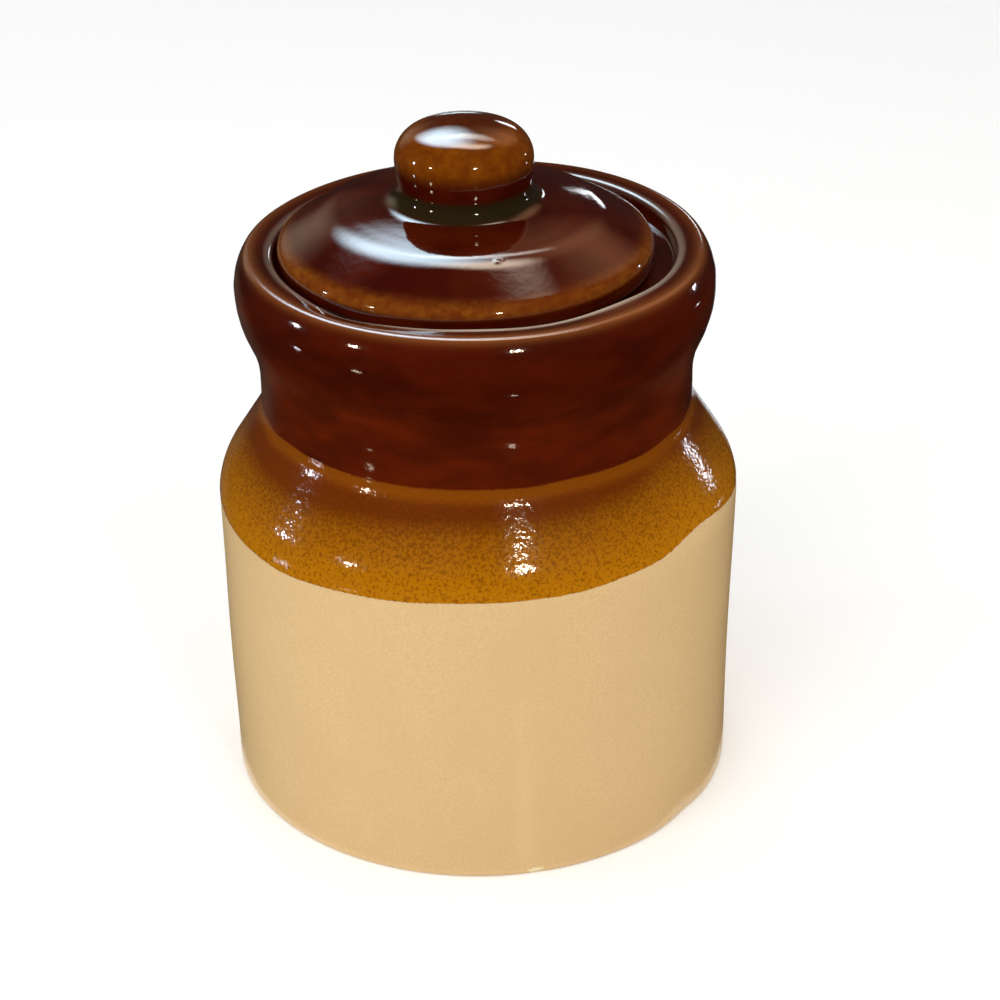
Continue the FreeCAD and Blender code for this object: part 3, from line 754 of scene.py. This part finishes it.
def pot_glaze():
    """The three zones of the pot in one material, cream at the foot and dark at the rim."""
    glaze = Surface("pot_glaze")
    above_line, above_crease = glaze.painted("above_line"), glaze.painted("above_crease")
    centred = glaze.math("SUBTRACT", glaze.noise(size=0.8 * MM), 0.5)
    ragged = glaze.math("MULTIPLY", centred, RAGGED)
    in_honey = glaze.smooth(glaze.math("ADD", above_line, ragged), *LINE_EDGE)
    in_dark = glaze.smooth(glaze.math("ADD", above_crease, ragged), *CREASE_EDGE)
    in_chip = glaze.smooth(glaze.math("ADD", glaze.painted("chip"), ragged), *CHIP_EDGE)
    dark = rim_colour(glaze, dark_colour(glaze, above_crease))
    tint = glaze.mix(in_honey, cream_colour(glaze), honey_colour(glaze, above_line, above_crease))
    glaze.set("Base Color", glaze.mix(in_chip, glaze.mix(in_dark, tint, dark), BARE_CLAY))
    below = glaze.blend(in_honey, CREAM_ROUGHNESS, HONEY_ROUGHNESS)
    above = glaze.smooth(glaze.painted("crest_thin_and_highlight"), *CREST_EDGE, DARK_ROUGHNESS, CREST_ROUGHNESS)
    glaze.set("Roughness", glaze.blend(in_dark, below, above))
    on_shoulder = glaze.math("SUBTRACT", in_honey, in_dark, clamp=True)
    dimples = glaze.math("MULTIPLY", glaze.noise(size=1.8 * MM), on_shoulder)
    relief = glaze.bump(dimples, height=0.10 * MM)
    relief = glaze.bump(glaze.noise(size=2.2 * MM), height=0.03 * MM, after=relief)
    relief = glaze.bump(glaze.noise(size=0.7 * MM), height=0.006 * MM, after=relief)
    glaze.set("Normal", relief)
    return glaze.material


def lid_glaze():
    """Dark glaze that turns amber where it thins over the rolled edge and the knob; the edge below
    its widest line keeps the dark glaze as painted shade.
    """
    glaze = Surface("lid_glaze")
    cloud = glaze.blotches(size=16 * MM, contrast=(0.32, 0.68))
    mottle = glaze.blotches(size=2.6 * MM, detail=3, roughness=0.6)
    thin = glaze.mix(mottle, glaze.mix(cloud, *ROLL), ROLL_MOTTLE)
    # the amber roll, with painted shade left dark below it
    on_roll = glaze.math("MULTIPLY", glaze.painted("roll"), ROLL_SHARE)
    in_pool = glaze.math("MULTIPLY", glaze.painted("pool"), POOL_SHARE, clamp=True)
    speck = glaze.smooth(glaze.painted("pimple"), *PIMPLE_EDGE)
    tint = glaze.mix(on_roll, glaze.mix(cloud, *LID), thin)
    tint = glaze.mix(glaze.painted("knob"), tint, glaze.mix(mottle, *KNOB))
    tint = glaze.mix(in_pool, tint, POOL)
    glaze.set("Base Color", glaze.mix(speck, tint, PIMPLE))
    glaze.set("Roughness", LID_ROUGHNESS)
    glaze.set("Normal", glaze.bump(glaze.noise(size=2.4 * MM), height=0.02 * MM))
    return glaze.material


# ---------------------------------------------------------------- camera, lamps and stage

LOOK_AT = Vector((0, 0, 79.8 * MM))
MIDDLE = Vector((0, 0, 100 * MM))       # what the lamps face
CAMERA_DISTANCE = 0.665
CAMERA_ELEVATION = 28.007               # degrees, as the other three
CAMERA_TURN = 0.475                     # aim past the axis, to the right
CAMERA_TIP = -0.581                     # aim below the point looked at
CAMERA_ROLL = -0.935
CAMERA_LENS = 92.76
ROOM_LIGHT = ((1, 0.98, 0.95, 1), 0.03)
PAPER_COLOUR = (0.88, 0.88, 0.87, 1)
PAPER_ROUGHNESS = 0.9
PAPER_LIFT = (0.22, 0.97)               # near the pot and far off
PAPER_LIFT_FROM = (0.5, 3.0)            # between these distances
FLOOR_REACH = 60.0
TABLE_HOLE = 67.2 * MM
TABLE_HEIGHT = 0.5 * MM
TABLE_SIDES = 64
TABLE_COLOUR = (0.02, 0.012, 0.008, 1)
TABLE_ROUGHNESS = 0.06

# Lamps and glows lie at an azimuth and elevation in degrees, seen from the pot, and a distance.
# Their radiance is that of the lit face, and edge is the share of a glow over which it fades.
Lamp = namedtuple("Lamp", "azimuth elevation distance width height radiance tint")
Glow = namedtuple("Glow", "azimuth elevation distance width height radiance tint edge")
WHITE = (1, 1, 1)
SOFT_BOXES = {
    "key": Lamp(-30, 42, 1.6, 1.2, 1.2, 2.55, WHITE),
    "fill": Lamp(40, 34, 1.6, 1.2, 1.2, 1.5, WHITE),
    "left": Lamp(-97, 18, 1.6, 1.2, 1.2, 1.5, (0.82, 0.94, 1.0)),
    "right": Lamp(97, 18, 1.6, 1.2, 1.2, 1.1, WHITE),
    "top": Lamp(0, 88, 1.6, 1.4, 1.4, 1.5, WHITE),
    "back": Lamp(180, 40, 1.8, 1.4, 1.0, 1.4, WHITE),
}
BULBS = {
    "lamp_a": Lamp(19, 28, 0.8, 0.044, 0.044, 200, (1, 0.86, 0.66)),
    "lamp_b": Lamp(-57, 17, 1.6, 0.090, 0.090, 120, (1, 0.86, 0.66)),
    "lamp_c": Lamp(-90, 12, 1.6, 0.090, 0.090, 120, (0.9, 0.92, 1.0)),
    "lamp_d": Lamp(122, 4, 1.6, 0.060, 0.060, 45, (0.9, 0.92, 1.0)),
}
GLOWS = {
    "window": Glow(-159, 53, 1.5, 1.15, 1.45, 16, (0.66, 0.86, 1.0), 0.85),
    "ceiling": Glow(160, 71, 1.5, 1.10, 0.72, 11, (1.0, 0.84, 0.66), 0.85),
    "lintel": Glow(176, 52, 1.5, 0.90, 0.30, 6, (1.0, 0.95, 0.88), 0.8),
    "right_wall": Glow(145, 45, 1.5, 1.6, 1.4, 1.3, (1.0, 0.48, 0.24), 0.9),
    "left_wall": Glow(-149, 19, 1.5, 1.3, 1.2, 0.6, (1.0, 0.84, 0.60), 1.0),
    "far_window": Glow(-179, 1, 2.0, 0.30, 0.16, 3, (0.75, 0.92, 1.0), 0.4),
    "far_door": Glow(166, 16, 2.0, 0.42, 0.18, 8, (0.9, 0.95, 1.0), 0.5),
}


def towards(azimuth, elevation):
    """Unit vector from the pot, azimuth in degrees from the viewer's side to the right."""
    a, e = math.radians(azimuth), math.radians(elevation)
    return Vector((math.sin(a) * math.cos(e), -math.cos(a) * math.cos(e), math.sin(e)))


def rotation(degrees, axis):
    """Rotation about one axis."""
    return Matrix.Rotation(math.radians(degrees), 4, axis)


def make_camera():
    """Camera in front of the pot, looking down on it."""
    camera = placed(bpy.data.objects.new("camera", bpy.data.cameras.new("camera")))
    camera.data.lens = CAMERA_LENS
    place = Matrix.Translation(LOOK_AT + CAMERA_DISTANCE * towards(0, CAMERA_ELEVATION))
    aim = rotation(-CAMERA_TURN, "Y") @ rotation(CAMERA_TIP, "X") @ rotation(CAMERA_ROLL, "Z")
    camera.matrix_world = place @ rotation(90 - CAMERA_ELEVATION, "X") @ aim
    bpy.context.scene.camera = camera


def face_pot(item, place):
    """Put a lamp or card in its place, turned to the pot."""
    direction = towards(place.azimuth, place.elevation)
    item.location = MIDDLE + place.distance * direction
    item.rotation_euler = direction.to_track_quat("Z", "Y").to_euler()


def area_lamp(name, lamp, form, area):
    """Area lamp of a given radiance, hidden from the camera."""
    light = bpy.data.lights.new(name, "AREA")
    light.shape = form
    light.size, light.size_y = lamp.width, lamp.height
    light.energy = lamp.radiance * math.pi * area
    light.color = lamp.tint
    item = placed(bpy.data.objects.new(name, light))
    face_pot(item, lamp)
    item.visible_camera = False
    return item


def soft_box(name, lamp):
    """Broad lamp that lights the pot and isn't mirrored in its glaze."""
    item = area_lamp(name, lamp, "RECTANGLE", lamp.width * lamp.height)
    item.visible_glossy = False


def bulb(name, lamp):
    """Small round lamp that the glaze mirrors as a glint."""
    area_lamp(name, lamp, "DISK", math.pi * lamp.width * lamp.height / 4)


def light_room():
    """Faint even light from all round."""
    world = bpy.data.worlds.new("room")
    world.use_nodes = True
    inputs = world.node_tree.nodes["Background"].inputs
    inputs["Color"].default_value, inputs["Strength"].default_value = ROOM_LIGHT
    bpy.context.scene.world = world


def sheet(name, width, height, material):
    """Flat sheet round its own origin, facing +Z."""
    mesh = bpy.data.meshes.new(name)
    x, y = width / 2, height / 2
    mesh.from_pydata([(-x, -y, 0), (x, -y, 0), (x, y, 0), (-x, y, 0)], [], [(0, 1, 2, 3)])
    mesh.materials.append(material)
    return placed(bpy.data.objects.new(name, mesh))


def mirrored_only(item):
    """Keep a stage piece out of the picture itself: only glossy surfaces show it."""
    item.visible_camera = item.visible_diffuse = item.visible_shadow = False


def glow_paint(name, glow):
    """Light that fades towards the edge of an oval and lets what is behind it through."""
    paint = Surface(name)
    paint.nodes.remove(paint.shader)
    oval = paint.vector("DIVIDE", paint.place, (glow.width / 2, glow.height / 2, 1))
    fade = paint.smooth(paint.vector("LENGTH", oval, output="Value"), 1 - glow.edge, 1, 1, 0)
    light = paint.nodes.new("ShaderNodeEmission")
    light.inputs["Color"].default_value = (*glow.tint, 1)
    paint.feed(light.inputs["Strength"], paint.math("MULTIPLY", fade, glow.radiance))
    both = paint.nodes.new("ShaderNodeAddShader")
    paint.feed(both.inputs[0], light.outputs[0])
    paint.feed(both.inputs[1], paint.nodes.new("ShaderNodeBsdfTransparent").outputs[0])
    paint.feed(paint.nodes["Material Output"].inputs["Surface"], both.outputs[0])
    return paint.material


def glow_card(name, glow):
    """Softly bounded glow for the glaze to mirror, such as a curtained window."""
    card = sheet(name, glow.width, glow.height, glow_paint(name, glow))
    face_pot(card, glow)
    mirrored_only(card)


def floor_paper():
    """White paper, seen a little lighter than it is, and wholly white far off."""
    paper = Surface("floor_paper")
    paper.set("Base Color", PAPER_COLOUR)
    paper.set("Roughness", PAPER_ROUGHNESS)
    paper.set("Emission Color", (1, 1, 1, 1))
    path = paper.nodes.new("ShaderNodeLightPath")
    seen = path.outputs["Is Camera Ray"]
    for kind in ("Is Glossy Ray", "Is Transmission Ray"):
        seen = paper.math("ADD", seen, path.outputs[kind], clamp=True)
    away = paper.vector("LENGTH", paper.place, output="Value")
    lift = paper.smooth(away, *PAPER_LIFT_FROM, *PAPER_LIFT)
    paper.set("Emission Strength", paper.math("MULTIPLY", seen, lift))
    return paper.material


def make_floor():
    """Plain pale floor that takes the pot's shadow."""
    floor = sheet("floor", 2 * FLOOR_REACH, 2 * FLOOR_REACH, floor_paper())


def table_polish():
    """Dark polished wood."""
    polish = Surface("dark_table")
    polish.set("Base Color", TABLE_COLOUR)
    polish.set("Roughness", TABLE_ROUGHNESS)
    return polish.material


def make_dark_table():
    """Dark ring round the foot that only reflections see."""
    angles = np.linspace(0, 2 * math.pi, TABLE_SIDES, endpoint=False)
    points = [(r * math.cos(a), r * math.sin(a), TABLE_HEIGHT)
              for r in (TABLE_HOLE, FLOOR_REACH) for a in angles]
    faces = [(k, TABLE_SIDES + k, TABLE_SIDES + (k + 1) % TABLE_SIDES, (k + 1) % TABLE_SIDES)
             for k in range(TABLE_SIDES)]
    mesh = bpy.data.meshes.new("dark_table")
    mesh.from_pydata(points, [], faces)
    mesh.materials.append(table_polish())
    mirrored_only(placed(bpy.data.objects.new("dark_table", mesh)))


def dress(piece, node, material):
    """Let a piece stand for a CAD solid, in its material."""
    piece.data.materials.append(material)
    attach(piece, "root")
    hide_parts(node)


dress(make_pot(), "pot", pot_glaze())
dress(make_lid(), "lid", lid_glaze())
make_floor()
make_dark_table()
for title, lamp in SOFT_BOXES.items():
    soft_box(title, lamp)
for title, lamp in BULBS.items():
    bulb(title, lamp)
for title, glow in GLOWS.items():
    glow_card(title, glow)
light_room()
make_camera()
bpy.context.scene.view_settings.view_transform = "Standard"
